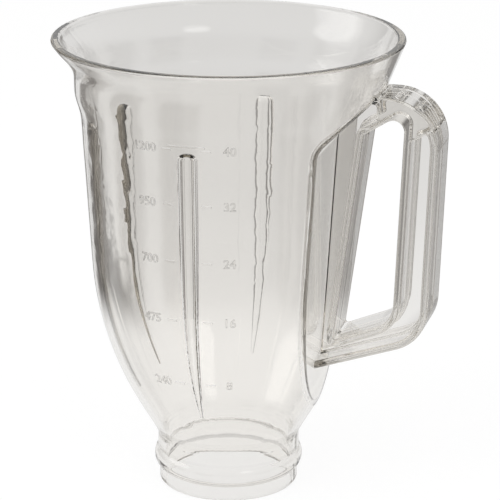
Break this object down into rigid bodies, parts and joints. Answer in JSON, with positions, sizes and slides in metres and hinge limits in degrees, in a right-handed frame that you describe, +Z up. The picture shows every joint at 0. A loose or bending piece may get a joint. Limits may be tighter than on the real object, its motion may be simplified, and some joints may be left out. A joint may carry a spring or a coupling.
{
  "type": "blender jar",
  "caption": "Clear bell-shaped blender jar with a flared mouth, pouring lip, loop handle, inner ribs, raised volume scale and an open neck for a blade unit.",
  "frame": {"origin": "centre of the neck's open foot, on the plane that the jar stands on", "axes": "+Z up along the jar's axis to the mouth, +X towards the handle, -X towards the pouring lip"},
  "size_m": [0.1661, 0.1482, 0.198],
  "materials": {
    "clear_plastic": "clear and glossy"
  },
  "bodies": {
    "root": {"blender_jar": "clear_plastic"}
  },
  "joints": []
}
